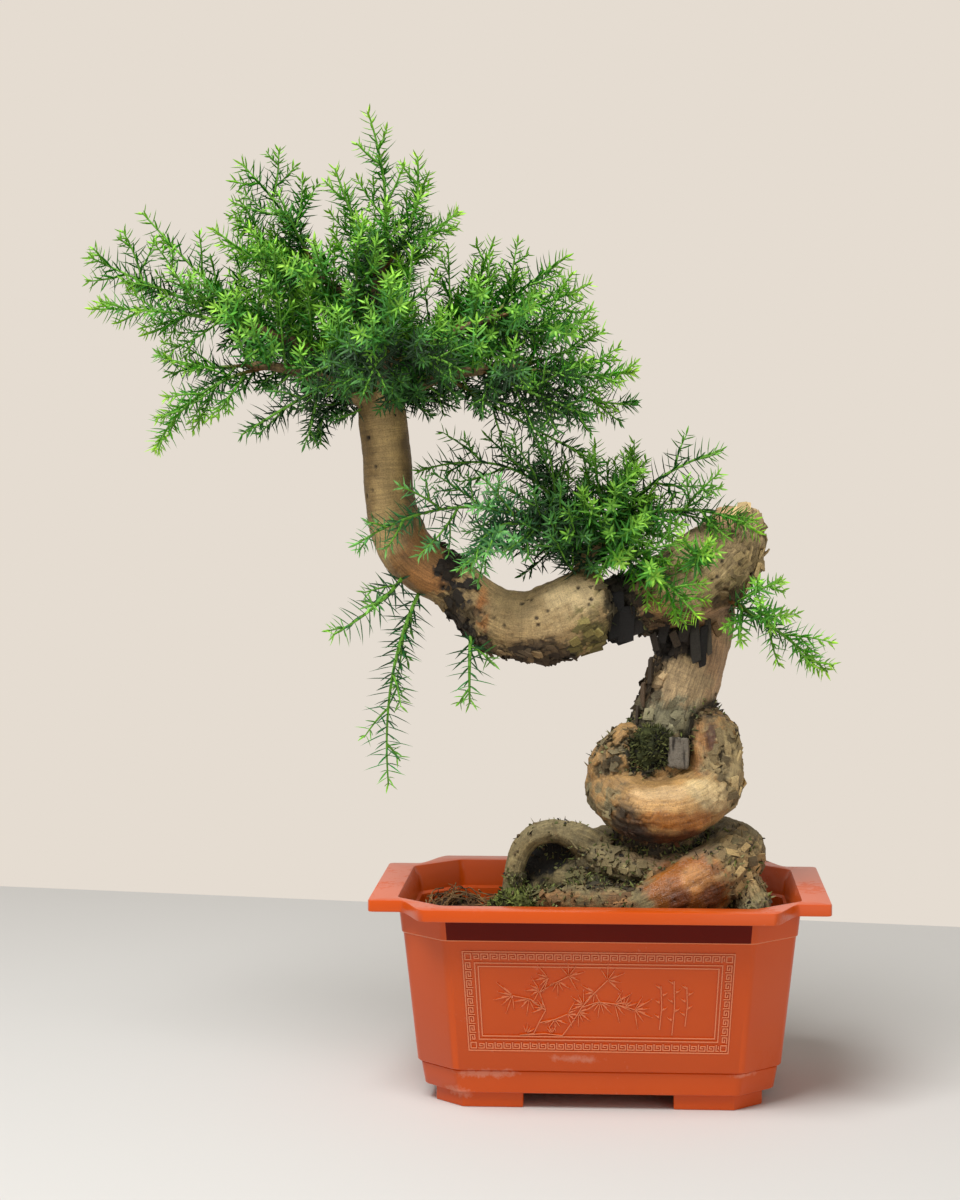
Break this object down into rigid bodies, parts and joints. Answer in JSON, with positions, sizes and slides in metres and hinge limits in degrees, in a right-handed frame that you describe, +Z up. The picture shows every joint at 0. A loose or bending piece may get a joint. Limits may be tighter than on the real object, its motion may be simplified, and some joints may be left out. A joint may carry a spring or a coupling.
{
  "type": "bonsai tree in a pot",
  "caption": "Bonsai conifer with a coiled root base, a bent trunk and needle-covered shoots, growing in soil in a rectangular plastic pot with a flanged rim.",
  "frame": {"origin": "centre of the whole object's box in X and Y, on the surface that the pot's feet stand on", "axes": "+Z up, +X to the right of the pot's long front, +Y from that front to the back"},
  "size_m": [0.409, 0.184, 0.543],
  "materials": {
    "pot_plastic": "satin",
    "potting_mix": "matte",
    "bark": "matte",
    "moss": "matte",
    "dry_fibre": "matte",
    "needles": "satin"
  },
  "bodies": {
    "root": {"dry_rootlets": "dry_fibre", "moss_back": "moss", "moss_hollow": "moss", "moss_left": "moss", "pot": "pot_plastic", "shoot_back_left": "needles", "shoot_back_right": "needles", "shoot_back_rising": "needles", "shoot_back_tip": "needles", "shoot_front_left": "needles", "shoot_front_right": "needles", "shoot_front_rising": "needles", "shoot_front_tip": "needles", "shoot_front_upright": "needles", "shoot_hanging_left": "needles", "shoot_hanging_long": "needles", "shoot_hanging_short": "needles", "shoot_knob_front": "needles", "shoot_knob_right": "needles", "shoot_left_back_rising": "needles", "shoot_left_back_tip": "needles", "shoot_left_drooping": "needles", "shoot_left_front": "needles", "shoot_left_long": "needles", "shoot_left_low_tip": "needles", "shoot_left_rising": "needles", "shoot_middle_back": "needles", "shoot_middle_front": "needles", "shoot_middle_left_hanging": "needles", "shoot_middle_left_long": "needles", "shoot_middle_left_top": "needles", "shoot_middle_right_long": "needles", "shoot_middle_right_top": "needles", "shoot_middle_up": "needles", "shoot_right_back_low": "needles", "shoot_right_back_rising": "needles", "shoot_right_back_tip": "needles", "shoot_right_drooping": "needles", "shoot_right_front": "needles", "shoot_right_low": "needles", "shoot_right_low_front": "needles", "shoot_right_mid_rising": "needles", "shoot_right_mid_tip": "needles", "shoot_right_top_long": "needles", "shoot_right_top_short": "needles", "shoot_right_upper_tip": "needles", "shoot_spire_back": "needles", "shoot_spire_front": "needles", "shoot_spire_leader": "needles", "shoot_spire_left": "needles", "shoot_spire_right": "needles", "shoot_spire_side": "needles", "shoot_under_left_back": "needles", "shoot_under_left_front": "needles", "shoot_upper_left_back": "needles", "shoot_upper_left_front": "needles", "shoot_upper_left_tall": "needles", "soil": "potting_mix", "tree_wood": "bark"}
  },
  "joints": []
}
